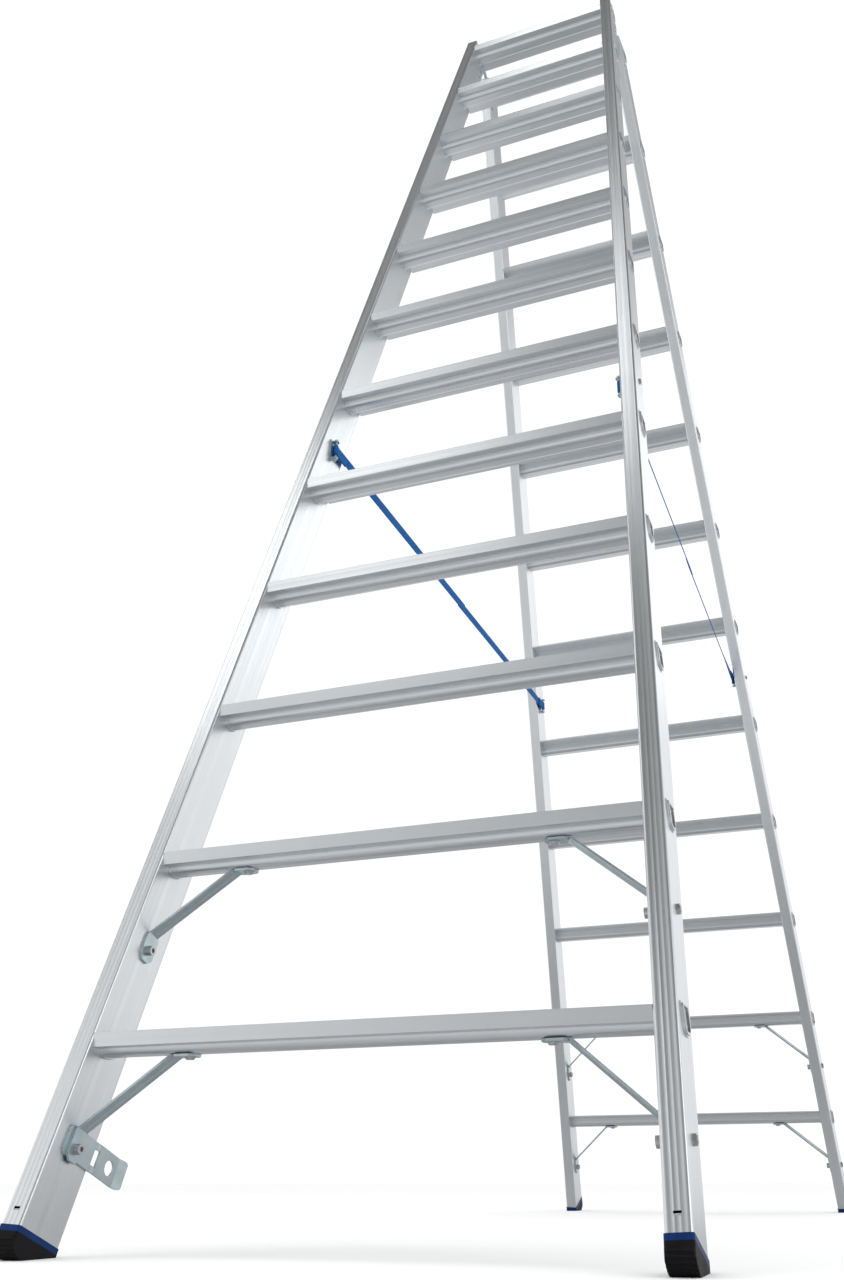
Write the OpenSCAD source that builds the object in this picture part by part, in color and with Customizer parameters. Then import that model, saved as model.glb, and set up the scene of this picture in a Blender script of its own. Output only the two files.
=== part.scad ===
// Double-sided aluminium step ladder.
// Two flights of twelve hollow treads lean against each other and pivot on one top axis.
// The origin is on the floor, midway between the four feet. X is across the ladder,
// -Y is the front flight and +Z is up. All lengths are millimetres.

/* [Flights] */
// Tilt of each flight from the vertical, degrees
lean = 21.265; // [16:0.1:26]
// Tilt of each stile in its flight, degrees
splay = 3.29; // [2:0.01:4]
// Half the outside width of a flight at floor level
base_half = 361; // [340:1:400]
// Treads on each flight
tread_count = 12; // [6:1:12]
// Distance between treads along the stile
tread_pitch = 250; // [240:1:260]
// First tread's front edge, along the stile from floor level
first_tread = 254.3; // [240:1:270]

/* [Stiles] */
// Width of a stile across the ladder
stile_w = 25; // [22:1:30]
// Depth of a stile
stile_d = 73; // [66:1:80]
// Wall of the stile extrusion
stile_wall = 2; // [1.5:0.1:3]
// Lower end of a stile
stile_foot = 38.5; // [34:0.5:44]
// Upper end of a stile, beyond the top tread's front edge
stile_over = 39.7; // [35:0.1:42]

/* [Treads] */
// Depth of a tread from front to back
tread_depth = 80.5; // [70:0.5:90]
// Height of the front lip
lip_h = 16.5; // [12:0.5:20]
// Front of the hollow bar under the tread
bar_front = 15; // [12:0.5:18]
// Back of the hollow bar
bar_back = 44.4; // [40:0.2:48]
// Height of the hollow bar, from the tread's top
bar_h = 26; // [22:0.5:28]
// Radius of the bar's lower corners
bar_round = 9; // [4:0.5:10]

/* [Braces] */
// Width of a brace strip
brace_w = 25; // [20:1:28]
// Thickness of a brace strip
brace_t = 3; // [2:0.5:4]
// Lower bolt of a brace, below its tread's front edge
brace_drop = 120; // [110:1:130]

/* [Hinge and straps] */
// Pivot's depth behind the stile's front face
pivot_d = 78; // [76:0.5:82]
// Pivot's height above the stile's upper end
pivot_over = 17.6; // [16:0.1:20]
// Height of the strap anchors along the stile
anchor_u = 1378; // [1300:1:1450]
// Width of a strap
strap_w = 20; // [18:1:26]

/* [Hidden] */
$fn = 48;
EPS = 0.01;
stile_top = first_tread + (tread_count - 1) * tread_pitch + stile_over;
pivot_u = stile_top + pivot_over;
foot_reach = pivot_d * cos(lean) + pivot_u * sin(lean);
corner_r = 3;
flute_r = 21;
flute_depth = 0.15;
flute_in = 6.8;
tread_skin = 2.2;
ridge_h = 0.7;
plate_t = 3;
hole_gap = 0.15;
rim_grow = 3.6;
rim_t = 1.2;
lip_grow = 1.8;
lip_t = 3.2;
mouth_skin = 0.8;
collar_grow = 1.5;
collar_t = 4.5;
brace_d = 36.5;
brace_toe = 15;
brace_bend = 20;
brace_tab = 29;
brace_hole = 18;
brace_run = 96;
strip_w = 16;
bolt_r = 4;
bolt_gap = 0.25;
latch_t = 2.5;
latch_w = 33;
latch_u = first_tread - brace_drop + 5.5;
anchor_d = 34.7;
anchor_off = 6.5;
anchor_h = 34;
anchor_w = 22;
anchor_t = 1.8;
anchor_pin_r = 1.85;
pin_r = 3;
eye_r = 12;
pivot_r = 4;
tongue_t = 3.2;
front_tongue_x = 174;
rear_tongue_x = 169.8;
tongue_d = 52;
tongue_w = 18;
rivet_d = tongue_d + tongue_w / 2;
hinge_rivets = [stile_top - 79, stile_top - 54];

aluminium = "#c9ccd0";
zinc = "#a9b3b8";
rubber = "#1b1c1f";
blue = "#155ba6";

function two_digits(n) = n < 10 ? str("0", n) : str(n);
function stile_name(rear, left) = str(rear == 1 ? "rear" : "front", "_", left == 1 ? "left" : "right");
function tread_name(rear, j) = str("tread_", rear == 1 ? "rear" : "front", "_", two_digits(j));
function brace_name(rear, left, j) = str("brace_", stile_name(rear, left), "_", j);

corners = [for (rear = [0, 1], left = [1, 0]) [rear, left]];

// Position along the stile of a tread's front edge, and where that edge is in space
function tread_u(j) = first_tread + (j - 1) * tread_pitch;
function tread_y(j) = tread_u(j) * sin(lean) - foot_reach;
function tread_z(j) = tread_u(j) * cos(lean);

// Half the clear width between the stiles' inner faces
function inner_half(u) = base_half - stile_w / cos(splay) - u * tan(splay);

// A point of the right stile, given from its inner face, in the flight's own axes
function stile_point(x, d, w) = [
    base_half + (x - stile_w) * cos(splay) - w * sin(splay),
    d,
    (x - stile_w) * sin(splay) + w * cos(splay)
];

// A point of the front flight in the ladder's axes
function flight_point(p) = [
    p[0],
    p[1] * cos(lean) + p[2] * sin(lean) - foot_reach,
    p[2] * cos(lean) - p[1] * sin(lean)
];

// Places children given as across, depth behind the stile's front face, and along the stile
module flight_space() {
    translate([0, -foot_reach, 0]) rotate([-lean, 0, 0]) children();
}

// Places children given from the right stile's inner face, its front face and the floor
module stile_space() {
    flight_space() translate([base_half, 0, 0]) rotate([0, -splay, 0])
        translate([-stile_w, 0, 0]) children();
}

// Turns the front right corner's shape into that of another corner
module at_corner(rear, left) {
    mirror([0, rear, 0]) mirror([left, 0, 0]) children();
}

// Extrudes a (y, z) outline along +X
module along_x(length) {
    rotate([90, 0, 90]) linear_extrude(length) children();
}

// Extrudes an (x, z) outline along +Y
module along_y(length) {
    translate([0, length, 0]) rotate([90, 0, 0]) linear_extrude(length) children();
}

module rounded_rect(w, d, r) {
    translate([r, 0]) square([w - 2 * r, d]);
    translate([0, r]) square([w, d - 2 * r]);
    for (x = [r, w - r], y = [r, d - r]) {
        translate([x, y]) circle(r = r);
    }
}

// ---- Treads ----

// Outline of the hollow bar, grown by a margin: y back from the front edge, z from the top
module bar_outline(grow) {
    front = bar_front - grow;
    back = bar_back + grow;
    r = bar_round + grow;
    translate([front, r - bar_h - grow]) square([back - front, bar_h + 2 * grow - r]);
    translate([front + r, -bar_h - grow]) square([back - front - 2 * r, r + EPS]);
    for (y = [front + r, back - r]) {
        translate([y, r - bar_h - grow]) circle(r = r);
    }
}

module tread_outline() {
    translate([0, -plate_t]) square([tread_depth, plate_t]);
    translate([0, -lip_h]) square([bar_front + tread_skin, lip_h]);
    bar_outline(0);
}

// The bar's bore, the hollow nosing and the grooves between the anti-slip ridges
module tread_hollows() {
    groove_pitch = 3.4;
    difference() {
        bar_outline(-tread_skin);
        translate([0, -plate_t]) square([tread_depth, 2 * plate_t]);
    }
    nosing = bar_front - 2 * tread_skin;
    translate([tread_skin, tread_skin - lip_h]) square([nosing, lip_h - tread_skin - plate_t]);
    for (y = [2.4 : groove_pitch : tread_depth - 3]) {
        translate([y, -ridge_h]) square([1.7, 2 * ridge_h]);
    }
}

// The space between planes parallel to the stiles' inner faces, moved outward by a margin
module between_stiles(margin) {
    low = inner_half(0) + margin / cos(splay);
    high = inner_half(pivot_u) + margin / cos(splay);
    flight_space() translate([0, -60, 0]) along_y(220)
        polygon([[-low, 0], [low, 0], [high, pivot_u], [-high, pivot_u]]);
}

// A slab parallel to both stiles' inner faces
module stile_slab(from, to) {
    for (left = [0, 1]) {
        mirror([left, 0, 0]) stile_space() translate([from, -30, 0]) cube([to - from, 150, pivot_u]);
    }
}

module full_width(j) {
    translate([-base_half, tread_y(j), tread_z(j)]) along_x(2 * base_half) children();
}

// Holes for the rivets that hold the braces to a tread's bar
module rivet_holes(rear, j) {
    for (left = [0, 1]) {
        mirror([left, 0, 0]) translate(rivet_place(rear, left, j) - [0, 0, 1])
            cylinder(r = pin_r + bolt_gap, h = 6);
    }
}

module tread(rear, j) {
    color(aluminium) mirror([0, rear, 0]) difference() {
        union() {
            intersection() {
                full_width(j) tread_outline();
                between_stiles(0);
            }
            intersection() {
                full_width(j) bar_outline(0);
                between_stiles(stile_w + EPS);
            }
            intersection() {
                full_width(j) bar_outline(rim_grow);
                stile_slab(stile_w, stile_w + rim_t);
            }
            intersection() {
                full_width(j) bar_outline(lip_grow);
                stile_slab(stile_w, stile_w + lip_t);
            }
            intersection() {
                full_width(j) bar_outline(collar_grow);
                stile_slab(-collar_t, 0);
            }
        }
        full_width(j) tread_hollows();
        intersection() {
            full_width(j) bar_outline(-mouth_skin);
            stile_slab(stile_w, stile_w + lip_t + 1);
        }
        if (j <= 2) rivet_holes(rear, j);
    }
}

// ---- Stiles ----

module stile_outline() {
    difference() {
        rounded_rect(stile_w, stile_d, corner_r);
        translate([stile_wall, stile_wall]) square([stile_w - 2 * stile_wall, stile_d - 2 * stile_wall]);
        for (x = [flute_in, stile_w / 2, stile_w - flute_in]) {
            translate([x, flute_depth - flute_r]) circle(r = flute_r);
            translate([x, stile_d - flute_depth + flute_r]) circle(r = flute_r);
        }
    }
}

// A hole through both side walls, square to the stile
module cross_hole(d, w, r) {
    translate([-10, d, w]) rotate([0, 90, 0]) cylinder(r = r, h = stile_w + 20);
}

// The tongue pressed in above the foot, sloping to a slot through the wall: y inward, z along the stile
module lance_outline(slope_h, top) {
    slope_in = 1.2;
    through = stile_wall + 1;
    polygon([
        [-1, 0], [2 * flute_depth, 0], [slope_in, slope_h], [through, slope_h],
        [through, top], [-1, top]
    ]);
}

module stile(rear, left) {
    lance = [7.5, 1.9, 3.8];
    lance_u = stile_foot + 15;
    color(aluminium) at_corner(rear, left) difference() {
        stile_space() difference() {
            translate([0, 0, stile_foot]) linear_extrude(stile_top - stile_foot) stile_outline();
            for (j = [1, 2]) {
                cross_hole(brace_d, tread_u(j) - brace_drop, bolt_r + bolt_gap);
            }
            cross_hole(anchor_d, anchor_u, pin_r + bolt_gap);
            for (w = hinge_rivets) {
                cross_hole(rivet_d, w, bolt_r + bolt_gap);
            }
            translate([(stile_w - lance[0]) / 2, 0, lance_u]) along_x(lance[0])
                lance_outline(lance[1], lance[2]);
        }
        for (j = [1:tread_count]) {
            full_width(j) bar_outline(hole_gap);
        }
    }
}

// ---- Feet ----

sole_r = 21.5;
foot_top = stile_foot - 6.5;
foot_over = 1;

// Profile of the rubber foot: flat on the floor, rounded up at the front
module sole_outline() {
    translate([5 + sole_r, 0]) square([80, 60]);
    translate([5, sole_r]) square([80, 60]);
    translate([5 + sole_r, sole_r]) circle(r = sole_r);
}

module foot(rear, left) {
    color(rubber) at_corner(rear, left) difference() {
        intersection() {
            stile_space() union() {
                translate([-foot_over, -foot_over, -30]) linear_extrude(foot_top + 30)
                    rounded_rect(stile_w + 2 * foot_over, stile_d + 2 * foot_over, 3);
                translate([-foot_over, -3, -30]) linear_extrude(foot_top + 24)
                    rounded_rect(stile_w + 2 * foot_over, 30, 4);
            }
            translate([base_half - 60, -foot_reach, 0]) along_x(80) sole_outline();
        }
        for (a = [4 : 14 : 60]) {
            translate([base_half - 60, 5 + sole_r - foot_reach, sole_r]) rotate([a, 0, 0])
                translate([0, -sole_r - 0.3, 0]) rotate([0, 90, 0]) cylinder(r = 1.3, h = 80);
        }
    }
}

// The coloured collar above a foot, with the plug that holds it in the stile
module foot_inserts(rear) {
    plug_gap = 0.2;
    plug = [stile_w - 2 * (stile_wall + plug_gap), stile_d - 2 * (stile_wall + plug_gap), 12];
    for (left = [0, 1]) {
        color(blue) at_corner(rear, left) stile_space() union() {
            translate([-foot_over, -foot_over, foot_top]) linear_extrude(stile_foot - foot_top)
                rounded_rect(stile_w + 2 * foot_over, stile_d + 2 * foot_over, 3);
            translate([stile_wall + plug_gap, stile_wall + plug_gap, stile_foot - EPS]) cube(plug);
        }
    }
}

// ---- Braces ----

// Where a brace leaves the stile's face, and where it meets its tread
function brace_lift(rear, left, j) = rear == 0 && left == 1 && j == 1 ? latch_t : 0;
function bend_low(j, lift) = let (u = tread_u(j) - brace_drop + brace_bend) [inner_half(u) - lift, u];
function bend_high(j, lift) = [
    bend_low(j, lift)[0] - brace_run,
    tread_u(j) + (bar_front + bar_back) / 2 * sin(lean) - bar_h * cos(lean)
];

// Where a brace's rivet meets the underside of its tread's bar
function rivet_place(rear, left, j) = [
    bend_high(j, brace_lift(rear, left, j))[0] - brace_hole,
    tread_y(j) + (bar_front + bar_back) / 2,
    tread_z(j) - bar_h
];

// Bolted end, flat on the stile: y across the strip, z along the stile
module brace_foot_outline() {
    half = brace_w / 2;
    cut = 7;
    top = brace_bend + 2.2;
    polygon([
        [cut - half, -brace_toe], [half - cut, -brace_toe], [half, cut - brace_toe],
        [half, top - 4], [half - 4, top], [4 - half, top], [-half, top - 4], [-half, cut - brace_toe]
    ]);
}

// Riveted end, flat under the tread's bar: x inward, y across the strip
module brace_head_outline() {
    half = brace_w / 2;
    cut = 7;
    polygon([
        [0, cut - half], [cut, -half], [brace_tab - 4, -half], [brace_tab, 4 - half],
        [brace_tab, half - 4], [brace_tab - 4, half], [cut, half], [0, half - cut]
    ]);
}

module brace(rear, left, j) {
    lift = brace_lift(rear, left, j);
    low = bend_low(j, lift);
    high = bend_high(j, lift);
    rise = atan2(high[1] - low[1], brace_run);
    low_miter = brace_t * tan((90 - rise) / 2);
    beyond = high + 10 * [-cos(rise), sin(rise)];
    bolt_w = tread_u(j) - brace_drop;
    rivet = rivet_place(rear, left, j);
    groove_r = 5;
    color(zinc) at_corner(rear, left) difference() {
        union() {
            stile_space() translate([-brace_t - lift, brace_d, bolt_w])
                along_x(brace_t) brace_foot_outline();
            flight_space() translate([0, brace_d - strip_w / 2, 0]) along_y(strip_w) polygon([
                low, beyond, beyond - brace_t * [sin(rise), cos(rise)],
                [low[0] - brace_t, low[1] - low_miter]
            ]);
            translate([high[0] - brace_tab, rivet[1], rivet[2] - brace_t])
                linear_extrude(brace_t) brace_head_outline();
        }
        translate([high[0] - brace_tab - 20, rivet[1] - 40, rivet[2]]) cube([brace_tab + 120, 80, 60]);
        translate(rivet - [0, 0, 10]) cylinder(r = pin_r + bolt_gap, h = 20);
        stile_space() cross_hole(brace_d, bolt_w, bolt_r + bolt_gap);
        flight_space() translate([low[0], brace_d, low[1]]) rotate([0, rise - 90, 0])
            translate([-brace_t - groove_r + 0.6, 0, 6]) cylinder(r = groove_r, h = norm(high - low) - 12);
    }
}

// A socket-head bolt through the stile, its head inside and its nut outside
module cross_bolt(d, w, r, head_r, head_h, under_head, nut_h) {
    translate([-under_head - head_h, d, w]) rotate([0, 90, 0]) difference() {
        cylinder(r = head_r, h = head_h);
        translate([0, 0, -EPS]) cylinder(r = r * 0.8, h = head_h * 0.6, $fn = 6);
    }
    translate([-under_head - EPS, d, w]) rotate([0, 90, 0])
        cylinder(r = r, h = stile_w + under_head + nut_h + 0.8);
    translate([stile_w, d, w]) rotate([0, 90, 0]) cylinder(r = r * 1.6, h = nut_h, $fn = 6);
}

module brace_bolts(rear) {
    for (left = [0, 1], j = [1, 2]) {
        under_head = brace_t + brace_lift(rear, left, j);
        color(zinc) at_corner(rear, left) stile_space()
            cross_bolt(brace_d, tread_u(j) - brace_drop, bolt_r, 6, 6.5, under_head, 3.6);
    }
}

module brace_rivets(rear) {
    for (left = [0, 1], j = [1, 2]) {
        color(zinc) at_corner(rear, left) translate(rivet_place(rear, left, j) - [0, 0, brace_t]) {
            translate([0, 0, -3]) cylinder(r1 = 4.5, r2 = 6.5, h = 3);
            translate([0, 0, -EPS]) cylinder(r = pin_r, h = brace_t + tread_skin + EPS);
        }
    }
}

// ---- Transport latch ----

// Section of the bent plate: x across, y depth behind the stile's front face
module latch_section(front, joggle, flange, bend) {
    step = stile_d + 1.5;
    back = stile_d + 46.5;
    tip = [-joggle - flange * sin(bend), back + flange * cos(bend)];
    polygon([
        [0, front], [0, step], [-joggle, step + 3], [-joggle, back], tip,
        tip - latch_t * [cos(bend), sin(bend)], [-joggle - latch_t, back - latch_t * tan(bend / 2)],
        [-joggle - latch_t, step + 3], [-latch_t, step], [-latch_t, front]
    ]);
}

module latch_plate() {
    front = 18;
    flange = 13;
    bend = 25;
    round_r = 6;
    length = stile_d + 46.5 + flange * cos(bend) - front;
    color(zinc) at_corner(0, 1) stile_space() translate([0, 0, latch_u]) difference() {
        intersection() {
            translate([0, 0, -latch_w / 2]) linear_extrude(latch_w) latch_section(front, 1, flange, bend);
            translate([-20, front, -latch_w / 2]) along_x(30) rounded_rect(length, latch_w, round_r);
        }
        cross_hole(brace_d, -5.5, bolt_r + bolt_gap);
        cross_hole(104.5, 0, 8.5);
        translate([-10, 71, -9]) cube([20, 9, 18]);
    }
}

// ---- Straps and their anchors ----

// Places children at the front right anchor's foot, upright
module anchor_space() {
    stile_space() translate([0, anchor_d, anchor_u]) rotate([lean, 0, 0]) children();
}

anchor_pin = flight_point(stile_point(-anchor_off, anchor_d, anchor_u));

module strap_anchor() {
    ear_t = 2;
    ear_r = 5;
    pin_head = 2;
    difference() {
        translate([-anchor_t, -anchor_w / 2, -anchor_h / 2]) cube([anchor_t, anchor_w, anchor_h]);
        translate([-5, 0, 0]) rotate([0, 90, 0]) cylinder(r = pin_r + bolt_gap, h = 10);
        translate([-anchor_t - EPS, 0, 0]) rotate([0, 90, 0]) cylinder(r = 5.7, h = 1);
    }
    for (z = [-anchor_h / 2, anchor_h / 2 - ear_t]) {
        translate([-anchor_off, 0, z]) cylinder(r = ear_r, h = ear_t);
        translate([-anchor_off, -ear_r, z]) cube([anchor_off - EPS, 2 * ear_r, ear_t]);
    }
    translate([-anchor_off, 0, -anchor_h / 2 - pin_head]) {
        cylinder(r = anchor_pin_r, h = anchor_h + 2 * pin_head);
        cylinder(r = ear_r - 1, h = pin_head);
        translate([0, 0, anchor_h + pin_head]) cylinder(r = ear_r - 1, h = pin_head);
    }
}

module strap_anchors(rear) {
    for (left = [0, 1]) {
        color(zinc) at_corner(rear, left) anchor_space() strap_anchor();
    }
}

module anchor_bolts(rear) {
    nut_h = 3;
    stub = 0.8;
    for (left = [0, 1]) {
        color(zinc) at_corner(rear, left) anchor_space() rotate([0, 90, 0]) {
            translate([0, 0, -anchor_t]) cylinder(r = 5.5, h = 0.9);
            translate([0, 0, -1]) cylinder(r = pin_r, h = 1 + stile_w + nut_h + stub);
            translate([0, 0, stile_w]) cylinder(r = 5.2, h = nut_h, $fn = 6);
        }
    }
}

// A taut strap, looped round the front and rear anchor pins
module strap(left) {
    loop_r = 2.65;
    strap_t = 1.3;
    reach = -anchor_pin[1];
    color(blue) mirror([left, 0, 0]) translate([anchor_pin[0], 0, anchor_pin[2] - strap_w / 2]) {
        for (y = [-reach, reach]) {
            translate([0, y, 0]) difference() {
                cylinder(r = loop_r + strap_t, h = strap_w);
                translate([0, 0, -1]) cylinder(r = loop_r, h = strap_w + 2);
            }
        }
        translate([-strap_t / 2, loop_r + 1 - reach, 0]) cube([strap_t, 2 * (reach - loop_r - 1), strap_w]);
    }
}

// ---- Top hinge ----

// A flat steel tongue with its eye, given as depth and along the stile
module tongue_outline() {
    neck = 0.9 * eye_r;
    polygon([
        [tongue_d, hinge_rivets[0] - 15], [tongue_d + tongue_w, hinge_rivets[0] - 15],
        [tongue_d + tongue_w, stile_top - 2],
        [pivot_d + neck * cos(30), pivot_u - neck * sin(30)],
        [pivot_d - neck * cos(45), pivot_u + neck * sin(45)],
        [tongue_d, stile_top + 6]
    ]);
    translate([pivot_d, pivot_u]) circle(r = eye_r);
}

module hinge_tongue(rear, left) {
    running_gap = 0.05;
    eye_hole = pivot_r + (rear == 1 ? running_gap : 0);
    x = rear == 1 ? rear_tongue_x : front_tongue_x;
    color(zinc) at_corner(rear, left) difference() {
        flight_space() translate([x, 0, 0]) along_x(tongue_t) tongue_outline();
        flight_space() translate([x - 1, pivot_d, pivot_u]) rotate([0, 90, 0])
            cylinder(r = eye_hole, h = tongue_t + 2);
        for (w = hinge_rivets) {
            stile_space() cross_hole(rivet_d, w, bolt_r + bolt_gap);
        }
    }
}

module hinge_pins() {
    head = 2.2;
    inner_end = rear_tongue_x - 0.3 - head;
    outer_end = front_tongue_x + tongue_t;
    for (left = [0, 1]) {
        color(zinc) mirror([left, 0, 0]) flight_space()
            translate([inner_end, pivot_d, pivot_u]) rotate([0, 90, 0]) {
            cylinder(r = 7, h = head);
            cylinder(r = pivot_r, h = outer_end + head - inner_end);
            translate([0, 0, outer_end - inner_end]) cylinder(r = 7, h = head);
        }
    }
}

module hinge_rivets(rear) {
    head = 2;
    for (left = [0, 1], w = hinge_rivets) {
        color(zinc) at_corner(rear, left) stile_space() translate([-head, rivet_d, w]) rotate([0, 90, 0]) {
            cylinder(r1 = 4, r2 = 5, h = head);
            cylinder(r = bolt_r, h = stile_w + 2 * head);
            translate([0, 0, stile_w + head]) cylinder(r1 = 5, r2 = 4, h = head);
        }
    }
}

for (rear = [0, 1], j = [1:tread_count]) {
    tread(rear, j);
}
for (c = corners) {
    stile(c[0], c[1]);
    foot(c[0], c[1]);
    brace(c[0], c[1], 1);
    brace(c[0], c[1], 2);
    hinge_tongue(c[0], c[1]);
}
hinge_pins();
strap(1);  // strap_left
strap(0);  // strap_right
latch_plate();
foot_inserts(0);  // foot_inserts_front
foot_inserts(1);  // foot_inserts_rear
strap_anchors(0);  // strap_anchors_front
strap_anchors(1);  // strap_anchors_rear
brace_bolts(0);  // brace_bolts_front
brace_bolts(1);  // brace_bolts_rear
brace_rivets(0);  // brace_rivets_front
brace_rivets(1);  // brace_rivets_rear
anchor_bolts(0);  // anchor_bolts_front
anchor_bolts(1);  // anchor_bolts_rear
hinge_rivets(0);  // hinge_rivets_front
hinge_rivets(1);  // hinge_rivets_rear
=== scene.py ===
"""Looks of a double-sided aluminium step ladder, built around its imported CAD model."""

import math

import bmesh
import bpy
from mathutils import Euler, Matrix, Vector


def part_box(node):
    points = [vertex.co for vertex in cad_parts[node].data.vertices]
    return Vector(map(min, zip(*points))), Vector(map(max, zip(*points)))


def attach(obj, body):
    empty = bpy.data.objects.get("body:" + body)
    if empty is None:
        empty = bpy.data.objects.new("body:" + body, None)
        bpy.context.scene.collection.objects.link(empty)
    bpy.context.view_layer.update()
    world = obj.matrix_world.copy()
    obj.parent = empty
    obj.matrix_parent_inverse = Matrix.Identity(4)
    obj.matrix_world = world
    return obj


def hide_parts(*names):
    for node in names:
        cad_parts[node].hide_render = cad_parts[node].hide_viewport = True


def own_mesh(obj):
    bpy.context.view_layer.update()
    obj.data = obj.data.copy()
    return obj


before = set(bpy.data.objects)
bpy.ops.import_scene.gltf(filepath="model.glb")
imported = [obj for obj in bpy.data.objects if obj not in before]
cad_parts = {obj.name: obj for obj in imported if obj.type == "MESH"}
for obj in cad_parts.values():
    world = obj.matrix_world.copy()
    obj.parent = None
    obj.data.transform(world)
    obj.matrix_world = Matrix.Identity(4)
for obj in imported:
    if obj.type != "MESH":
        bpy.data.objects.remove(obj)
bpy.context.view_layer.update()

SIDES = ("front", "rear")
HANDS = ("left", "right")
# Tilt of a flight from the vertical, and of a stile in its flight
LEAN = math.radians(21.265)
SPLAY = math.radians(3.29)


# ---- Node helpers ----


def new_material(name):
    """An empty node material, with its Principled shader."""
    mat = bpy.data.materials.new(name)
    mat.use_nodes = True
    nodes = mat.node_tree.nodes
    nodes.clear()
    out = nodes.new("ShaderNodeOutputMaterial")
    shader = nodes.new("ShaderNodeBsdfPrincipled")
    mat.node_tree.links.new(shader.outputs["BSDF"], out.inputs["Surface"])
    return mat, mat.node_tree, shader


def add(tree, kind, inputs=None, **settings):
    """A new node with its settings, and with its inputs set or linked."""
    node = tree.nodes.new(kind)
    for key, value in settings.items():
        setattr(node, key, value)
    for key, value in (inputs or {}).items():
        if isinstance(value, bpy.types.NodeSocket):
            tree.links.new(value, node.inputs[key])
        else:
            node.inputs[key].default_value = value
    return node


def object_coords(tree, rotation=(0, 0, 0), scale=(1, 1, 1)):
    """Object coordinates, turned first and then stretched, so that grain follows a slanted bar."""
    coords = add(tree, "ShaderNodeTexCoord").outputs["Object"]
    turned = add(tree, "ShaderNodeMapping", {"Vector": coords, "Rotation": rotation})
    sized = add(tree, "ShaderNodeMapping", {"Vector": turned.outputs["Vector"], "Scale": scale})
    return sized.outputs["Vector"]


def noise(tree, vector, scale, detail=3.0, rough=0.55):
    """A noise texture's value."""
    found = add(tree, "ShaderNodeTexNoise", {
        "Vector": vector, "Scale": scale, "Detail": detail, "Roughness": rough,
    })
    return found.outputs["Fac"]


def ramp(tree, value, low, high, start=0.3, end=0.7):
    """Maps a value from start to end onto low to high; low and high are numbers or colours."""
    if isinstance(low, (int, float)):
        node = add(tree, "ShaderNodeMapRange", {
            "Value": value, "From Min": start, "From Max": end, "To Min": low, "To Max": high,
        })
        return node.outputs["Result"]
    node = add(tree, "ShaderNodeValToRGB", {"Fac": value})
    first, last = node.color_ramp.elements
    first.position, last.position = start, end
    first.color, last.color = (*low, 1), (*high, 1)
    return node.outputs["Color"]


def mix_colour(tree, share, a, b, mode="MIX"):
    """Two colours mixed; a and b are colours or sockets."""
    node = add(tree, "ShaderNodeMix", data_type="RGBA", blend_type=mode)
    for key, value in ((0, share), (6, a), (7, b)):
        if isinstance(value, bpy.types.NodeSocket):
            tree.links.new(value, node.inputs[key])
        else:
            node.inputs[key].default_value = (*value, 1) if isinstance(value, tuple) else value
    return node.outputs[2]


def bump(tree, height, strength, distance, below=None):
    """A bump normal from a height, on top of another normal."""
    inputs = {"Height": height, "Strength": strength, "Distance": distance}
    if below is not None:
        inputs["Normal"] = below
    return add(tree, "ShaderNodeBump", inputs).outputs["Normal"]


def soft_edge(tree, radius):
    """A normal that rounds sharp edges, as deburring does."""
    return add(tree, "ShaderNodeBevel", {"Radius": radius}, samples=4).outputs["Normal"]


# ---- Materials ----

STILE_COLOUR = (0.79, 0.82, 0.835)
TREAD_COLOUR = (0.77, 0.80, 0.815)
# Grain lines per metre across and along an extrusion, and how much coarser its bands are
ACROSS_GRAIN = 900.0
ALONG_GRAIN = 2.0
BAND_SHARE = 0.16
# Spacing of a strap's warp ribs and weft bars
WARP_PITCH = 0.0018
WEFT_PITCH = 0.0022


def shade(colour, share):
    """A colour at a share of its brightness."""
    return tuple(share * c for c in colour)


def aluminium(name, rotation, stretch, colour, roughness):
    """Mill-finish extrusion: die lines along its length, faint stains and handling marks."""
    mat, tree, shader = new_material(name)
    lines = noise(tree, object_coords(tree, rotation, stretch), 1.0, 2.0, 0.6)
    bands = noise(tree, object_coords(tree, rotation, shade(stretch, BAND_SHARE)), 1.0, 2.0, 0.5)
    cloud = noise(tree, object_coords(tree), 9.0, 4.0, 0.6)
    smudge = noise(tree, object_coords(tree), 30.0, 3.0, 0.55)
    stained = mix_colour(tree, ramp(tree, cloud, 0.0, 0.5), colour, shade(colour, 0.9))
    base = mix_colour(tree, ramp(tree, smudge, 0.0, 0.4), stained, shade(colour, 0.9))
    banded = mix_colour(tree, ramp(tree, bands, 0.0, 0.5), base, shade(colour, 0.88))
    streaked = mix_colour(tree, ramp(tree, lines, 0.0, 0.3), banded, shade(colour, 0.86))
    tree.links.new(streaked, shader.inputs["Base Color"])
    shader.inputs["Metallic"].default_value = 1.0
    tree.links.new(ramp(tree, bands, roughness - 0.05, roughness + 0.05), shader.inputs["Roughness"])
    tree.links.new(bump(tree, bands, 0.16, 0.0005, soft_edge(tree, 0.0006)), shader.inputs["Normal"])
    return mat


def zinc(name, colour, roughness):
    """Bright zinc plating: cloudy, slightly blue, with fine grain."""
    mat, tree, shader = new_material(name)
    cloud = noise(tree, object_coords(tree), 55.0, 4.0, 0.6)
    grain = noise(tree, object_coords(tree), 900.0, 3.0, 0.6)
    warm = (colour[0] * 0.9, colour[1] * 0.86, colour[2] * 0.82)
    tree.links.new(ramp(tree, cloud, colour, warm, 0.35, 0.72), shader.inputs["Base Color"])
    shader.inputs["Metallic"].default_value = 1.0
    tree.links.new(ramp(tree, cloud, roughness - 0.06, roughness + 0.1), shader.inputs["Roughness"])
    tree.links.new(bump(tree, grain, 0.1, 0.0003, soft_edge(tree, 0.0005)), shader.inputs["Normal"])
    return mat


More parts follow.
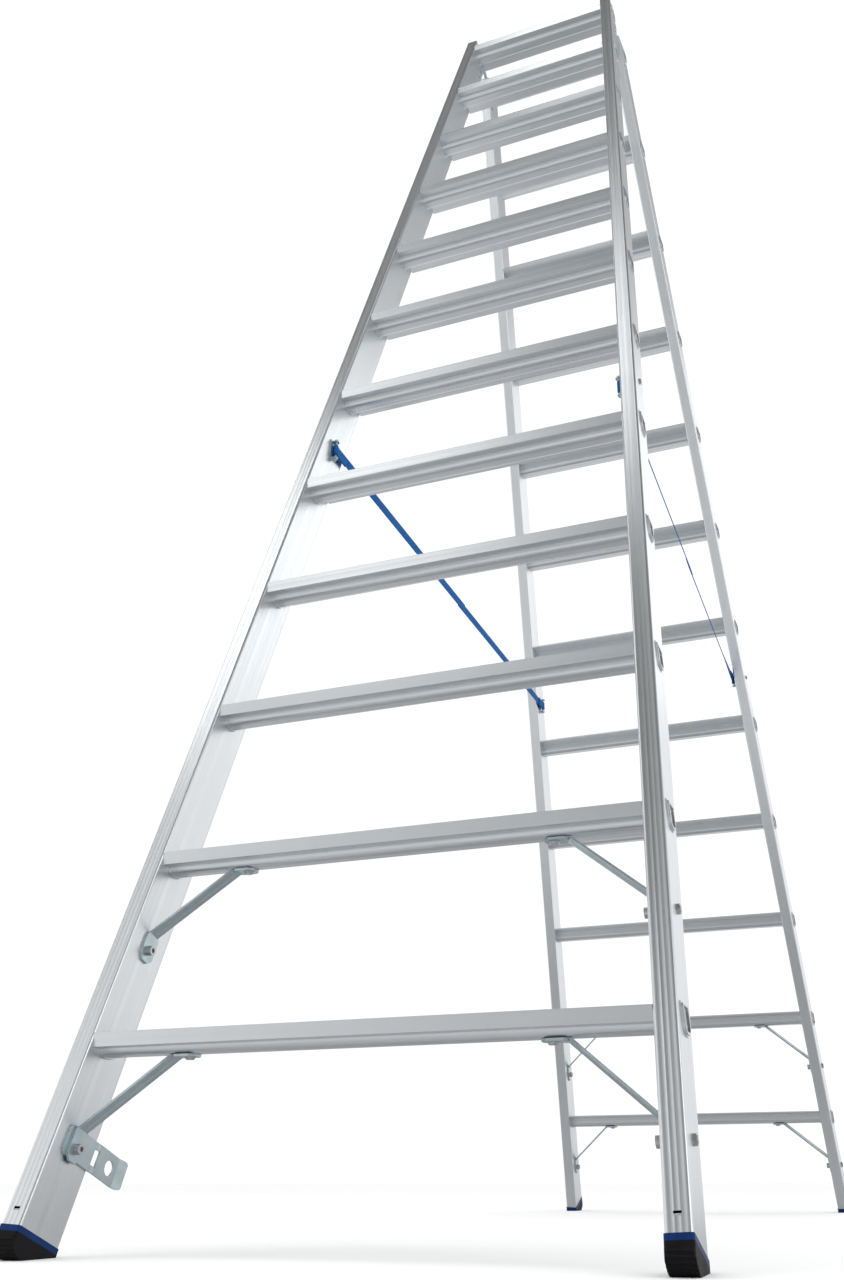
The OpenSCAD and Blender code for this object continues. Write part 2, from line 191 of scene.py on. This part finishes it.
def plastic(name, colour, roughness, grain_size, strength):
    """Moulded plastic or rubber: fine grain, slight variation and scuffs."""
    mat, tree, shader = new_material(name)
    cloud = noise(tree, object_coords(tree), 35.0, 4.0, 0.6)
    grain = noise(tree, object_coords(tree), grain_size, 3.0, 0.7)
    scuffed = tuple(1.6 * c + 0.003 for c in colour)
    tree.links.new(ramp(tree, cloud, colour, scuffed, 0.45, 0.85), shader.inputs["Base Color"])
    tree.links.new(ramp(tree, cloud, roughness - 0.06, roughness + 0.08), shader.inputs["Roughness"])
    shader.inputs["Specular IOR Level"].default_value = 0.14
    tree.links.new(bump(tree, grain, strength, 0.0004, soft_edge(tree, 0.0008)), shader.inputs["Normal"])
    return mat


def webbing_material():
    """Woven polyester strap: warp ribs along it and weft bars across it, with painted shade in the
    hollows of the weave.
    """
    mat, tree, shader = new_material("webbing_blue")
    coords = object_coords(tree)
    parts = add(tree, "ShaderNodeSeparateXYZ", {"Vector": coords}).outputs

    def wave(value, pitch):
        turn = add(tree, "ShaderNodeMath", {0: value, 1: 2 * math.pi / pitch}, operation="MULTIPLY")
        return add(tree, "ShaderNodeMath", {0: turn.outputs[0]}, operation="SINE").outputs[0]

    warp = wave(parts["Z"], WARP_PITCH)
    weft = wave(parts["Y"], WEFT_PITCH)
    cross = add(tree, "ShaderNodeMath", {0: warp, 1: weft}, operation="MULTIPLY")
    raised = add(tree, "ShaderNodeMath", {0: cross.outputs[0], 1: 0.5, 2: 0.5}, operation="MULTIPLY_ADD")
    lift = raised.outputs[0]
    fuzz = noise(tree, object_coords(tree), 1400.0, 3.0, 0.7)
    fade = noise(tree, object_coords(tree), 22.0, 3.0, 0.6)
    # Painted shade: the low parts of the weave get the darker blue and the raised parts get the lighter
    # one.
    base = mix_colour(tree, lift, (0.001, 0.055, 0.20), (0.003, 0.12, 0.42))
    worn = mix_colour(tree, ramp(tree, fade, 0.0, 0.35), base, (0.006, 0.13, 0.40))
    tree.links.new(worn, shader.inputs["Base Color"])
    shader.inputs["Roughness"].default_value = 0.72
    shader.inputs["Specular IOR Level"].default_value = 0.12
    shader.inputs["Sheen Weight"].default_value = 0.03
    shader.inputs["Sheen Roughness"].default_value = 0.4
    woven = bump(tree, lift, 0.8, 0.0004)
    tree.links.new(bump(tree, fuzz, 0.25, 0.0002, woven), shader.inputs["Normal"])
    return mat


def thread_material():
    """Bonded sewing thread, a shade lighter than the strap."""
    mat, tree, shader = new_material("sewing_thread")
    twist = noise(tree, object_coords(tree), 1800.0, 2.0, 0.5)
    tree.links.new(ramp(tree, twist, (0.02, 0.10, 0.32), (0.05, 0.22, 0.55)), shader.inputs["Base Color"])
    shader.inputs["Roughness"].default_value = 0.6
    tree.links.new(bump(tree, twist, 0.5, 0.0002), shader.inputs["Normal"])
    return mat


def dress(node, mat):
    """Gives a CAD node one material."""
    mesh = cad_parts[node].data
    mesh.materials.clear()
    mesh.materials.append(mat)


for side in SIDES:
    for hand in HANDS:
        tilt = LEAN if side == "front" else -LEAN
        turn = SPLAY if hand == "right" else -SPLAY
        grain = aluminium(
            f"stile_{side}_{hand}_finish", (tilt, turn, 0),
            (ACROSS_GRAIN, ACROSS_GRAIN, ALONG_GRAIN), STILE_COLOUR, 0.33,
        )
        dress(f"stile_{side}_{hand}", grain)

tread_finish = aluminium(
    "tread_finish", (0, 0, 0), (ALONG_GRAIN, ACROSS_GRAIN, ACROSS_GRAIN), TREAD_COLOUR, 0.32
)
zinc_finish = zinc("zinc_plate_finish", (0.54, 0.645, 0.68), 0.34)
bolt_finish = zinc("fastener_finish", (0.56, 0.58, 0.59), 0.28)
rubber_finish = plastic("foot_rubber_finish", (0.004, 0.004, 0.005), 0.5, 1500.0, 0.35)
blue_finish = plastic("foot_plastic_finish", (0.0005, 0.020, 0.095), 0.36, 700.0, 0.12)
webbing_finish = webbing_material()
thread_finish = thread_material()

FINISHES = {
    "tread_": tread_finish,
    "brace_bolts": bolt_finish,
    "brace_rivets": bolt_finish,
    "anchor_bolts": bolt_finish,
    "hinge_rivets": bolt_finish,
    "hinge_pins": bolt_finish,
    "brace_front": zinc_finish,
    "brace_rear": zinc_finish,
    "hinge_tongue": zinc_finish,
    "strap_anchors": zinc_finish,
    "latch_plate": zinc_finish,
    "foot_inserts": blue_finish,
    "foot_front": rubber_finish,
    "foot_rear": rubber_finish,
}
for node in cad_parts:
    for start, finish in FINISHES.items():
        if node.startswith(start):
            dress(node, finish)


# ---- Webbing straps ----

STRAP_WIDTH = 0.020
STRAP_THICK = 0.0013
SELVEDGE = 0.0005
# Lean of a strap about its own length, in degrees, and the length over which it starts
STRAP_TILT = {"left": 0.0, "right": 12.0}
TWIST_LENGTH = 0.12
# The end sewn round a pin: radius of its loop, its length, the share of it where the free half starts
LOOP_RADIUS = 0.0033
SEWN = 0.04
TIP_SHARE = 1.1
# Sideways distance of a ply of the sewn end, and of a free half at the middle, from the strap's plane
PLY_GAP = 0.0009
HALF_GAP = 0.0008
# How far a free half passes the middle
HALF_LAP = 0.02
# Middle of the stitching from the pin, and its spacing
STITCHES_AT = 0.0255
STITCH_PITCH = 0.003
STITCH_ROWS = (-0.0075, -0.0045, 0.0045, 0.0075)
STITCH_SIZE = (0.0004, 0.0011, 0.0004)


def strap_end(reach):
    """Centreline of the end sewn round the front pin, as (sideways, along) points."""
    loop = []
    for i in range(15):
        a = math.radians(-140 + 20 * i)
        loop.append((LOOP_RADIUS * math.sin(a), -LOOP_RADIUS * math.cos(a) - reach))
    shares = (0.3, 0.5, 0.75, 1.0)
    tail = [(-PLY_GAP, SEWN * t - reach) for t in reversed(shares)]
    lead = [(PLY_GAP, SEWN * t - reach) for t in (*shares, TIP_SHARE)]
    return tail + loop + lead


def strap_half(reach):
    """Centreline of the front half's free part, from its sewn end to just past the middle."""
    start = SEWN * TIP_SHARE - reach
    count = 45
    return [
        (PLY_GAP + (HALF_GAP - PLY_GAP) * i / count, start + (HALF_LAP - start) * i / count)
        for i in range(count + 1)
    ]


def band(name, path, sign, centre, reach, tilt):
    """A woven band with rounded selvedges along a path; sign -1 turns it round to the rear."""
    half_w, half_t = STRAP_WIDTH / 2, STRAP_THICK / 2
    flat_w, edge_t = half_w - SELVEDGE, half_t * 0.4
    section = [
        (-half_t, -flat_w), (-edge_t, -half_w), (edge_t, -half_w), (half_t, -flat_w),
        (half_t, flat_w), (edge_t, half_w), (-edge_t, half_w), (-half_t, flat_w),
    ]
    mesh = bmesh.new()
    rings = []
    for i, (x, y) in enumerate(path):
        before, after = path[max(i - 1, 0)], path[min(i + 1, len(path) - 1)]
        run = Vector((after[0] - before[0], after[1] - before[1])).normalized()
        free = min(1.0, max(0.0, (reach - SEWN * TIP_SHARE - abs(y)) / TWIST_LENGTH))
        ring = []
        for t, w in section:
            across = sign * (x + run.y * t) - w * tilt * free
            along = sign * (y - run.x * t)
            ring.append(mesh.verts.new(centre + Vector((across, along, w))))
        rings.append(ring)
    count = len(section)
    for a, b in zip(rings, rings[1:]):
        for k in range(count):
            mesh.faces.new((a[k], a[(k + 1) % count], b[(k + 1) % count], b[k]))
    mesh.faces.new(list(reversed(rings[0])))
    mesh.faces.new(rings[-1])
    bmesh.ops.recalc_face_normals(mesh, faces=mesh.faces)
    return finish_mesh(mesh, name, webbing_finish)


def strap(hand):
    """One strap: an end sewn round each pin, and two free halves that overlap at the middle."""
    low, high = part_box(f"strap_{hand}")
    centre = (low + high) / 2
    reach = (high.y - low.y) / 2 - LOOP_RADIUS - STRAP_THICK / 2
    tilt = math.tan(math.radians(STRAP_TILT[hand]))
    for side, sign in (("front", 1), ("rear", -1)):
        end = band(f"webbing_end_{side}_{hand}", strap_end(reach), sign, centre, reach, tilt)
        half = band(f"webbing_{side}_{hand}", strap_half(reach), sign, centre, reach, tilt)
        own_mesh(half)
        if side == "front":
            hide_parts(f"strap_{hand}")
        thread = stitches(f"stitching_{side}_{hand}", centre, sign * (STITCHES_AT - reach))
        for piece in (end, half, thread):
            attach(piece, f"{side}_flight")


def stitches(name, centre, y):
    """Rows of stitches on both faces of a strap's sewn end."""
    mesh = bmesh.new()
    for face in (-1, 1):
        x = centre.x + face * (PLY_GAP + STRAP_THICK / 2 + 0.0001)
        for row in STITCH_ROWS:
            for i in range(-4, 5):
                place = Matrix.Translation((x, centre.y + y + STITCH_PITCH * i, centre.z + row))
                stitch = place @ Matrix.Diagonal((*STITCH_SIZE, 1))
                bmesh.ops.create_icosphere(mesh, subdivisions=1, radius=1.0, matrix=stitch)
    return finish_mesh(mesh, name, thread_finish)


def finish_mesh(mesh, name, mat):
    """Turns a bmesh into a smooth object with one material."""
    data = bpy.data.meshes.new(name)
    mesh.to_mesh(data)
    mesh.free()
    for face in data.polygons:
        face.use_smooth = True
    data.materials.append(mat)
    made = bpy.data.objects.new(name, data)
    bpy.context.scene.collection.objects.link(made)
    return made


for hand in HANDS:
    strap(hand)


# ---- Stage, light and camera ----


def stage():
    """A plain white floor; polished metal sees it in a painted grey, with a painted shadow that is
    darkest near the ladder.
    """
    bpy.ops.mesh.primitive_plane_add(size=60, location=(0, 0, 0))
    floor = bpy.context.object
    floor.name = "floor"
    mat, tree, shader = new_material("floor_finish")
    coords = object_coords(tree)
    cloud = noise(tree, coords, 1.5, 2.0)
    distance = add(tree, "ShaderNodeVectorMath", {0: coords}, operation="LENGTH").outputs["Value"]
    # Painted shadow and reflection: glossy rays see the floor dark grey near the ladder and lighter grey
    # beyond 2 m.
    painted_shadow_grey = (0.32, 0.32, 0.33)
    painted_reflection_grey = (0.64, 0.64, 0.65)
    shaded = mix_colour(tree, ramp(tree, distance, 0.0, 1.0, 0.5, 2.0), painted_shadow_grey, painted_reflection_grey)
    white = ramp(tree, cloud, (0.93, 0.93, 0.93), (0.95, 0.95, 0.95))
    mirrored = add(tree, "ShaderNodeLightPath").outputs["Is Glossy Ray"]
    tree.links.new(mix_colour(tree, mirrored, white, shaded), shader.inputs["Base Color"])
    shader.inputs["Roughness"].default_value = 0.9
    shader.inputs["Specular IOR Level"].default_value = 0.1
    floor.data.materials.append(mat)


def wall(tree, height, levels):
    """Brightness from the horizon up to straight overhead."""
    fade = add(tree, "ShaderNodeValToRGB", {"Fac": height})
    stops = fade.color_ramp.elements
    stops[0].position, stops[1].position = 0.0, 1.0
    for place in (0.3, 0.6, 0.82):
        stops.new(place)
    for stop, level in zip(stops, levels):
        stop.color = (level, level, level * 1.01, 1)
    return fade.outputs["Color"]


def sky():
    """An even white studio for the floor; reflections see a lit wall behind and a dimmer ceiling."""
    world = bpy.data.worlds.new("studio_sky")
    bpy.context.scene.world = world
    world.use_nodes = True
    tree = world.node_tree
    tree.nodes.clear()
    coords = add(tree, "ShaderNodeTexCoord").outputs["Generated"]
    parts = add(tree, "ShaderNodeSeparateXYZ", {"Vector": coords}).outputs
    level_front = wall(tree, parts["Z"], (0.74, 0.68, 0.50, 0.26, 0.15))
    back = wall(tree, parts["Z"], (0.95, 1.05, 0.55, 0.26, 0.15))
    sided = ramp(tree, parts["X"], 1.3, 0.6, -0.62, -0.2)
    front = add(tree, "ShaderNodeVectorMath", {0: level_front, 3: sided}, operation="SCALE").outputs[0]
    lit = mix_colour(tree, ramp(tree, parts["Y"], 0.0, 1.0, -0.5, 0.4), front, back)
    mirrored = add(tree, "ShaderNodeLightPath").outputs["Is Glossy Ray"]
    colour = mix_colour(tree, mirrored, (1.06, 1.06, 1.06), lit)
    glow = add(tree, "ShaderNodeBackground", {"Color": colour, "Strength": 1.0})
    add(tree, "ShaderNodeOutputWorld", {"Surface": glow.outputs[0]})


def softbox(name, place, target, size, power):
    """A square area light that faces a point."""
    light = bpy.data.lights.new(name, "AREA")
    light.shape = "SQUARE"
    light.size = size
    light.energy = power
    box = bpy.data.objects.new(name, light)
    box.location = place
    box.rotation_euler = (Vector(target) - Vector(place)).to_track_quat("-Z", "Y").to_euler()
    bpy.context.scene.collection.objects.link(box)


def camera():
    """The photograph's viewpoint: near the floor, right of the ladder, looking up."""
    place = (0.5482, -2.2846, 0.0772)
    pitch, yaw, roll = (math.radians(angle) for angle in (20.49, 20.97, -0.11))
    data = bpy.data.cameras.new("camera")
    data.lens = 34.12
    data.shift_x = -0.0057
    data.shift_y = 0.0679
    seen = bpy.data.objects.new("camera", data)
    aim = Euler((math.radians(90) + pitch, 0, yaw)).to_matrix() @ Matrix.Rotation(roll, 3, "Z")
    seen.matrix_world = Matrix.Translation(place) @ aim.to_4x4()
    bpy.context.scene.collection.objects.link(seen)
    bpy.context.scene.camera = seen


stage()
sky()
softbox("key_right", (4.5, -2.5, 2.6), (0, 0, 1.3), 2.5, 40)
softbox("fill_left", (-4.5, -3.5, 1.8), (0, 0, 1.2), 3.0, 11)
softbox("overhead_left", (-2.0, -1.8, 4.0), (-0.3, -0.8, 1.0), 1.3, 10)
softbox("overhead_right", (-0.1, -1.2, 4.0), (0.3, -0.7, 1.2), 0.7, 3)
softbox("front_left", (-1.7, -4.0, 3.4), (-0.2, -0.8, 1.2), 1.5, 9)
softbox("back_right", (1.6, 2.6, 3.0), (-0.3, -0.8, 1.0), 1.6, 8)
camera()
bpy.context.scene.view_settings.view_transform = "Standard"
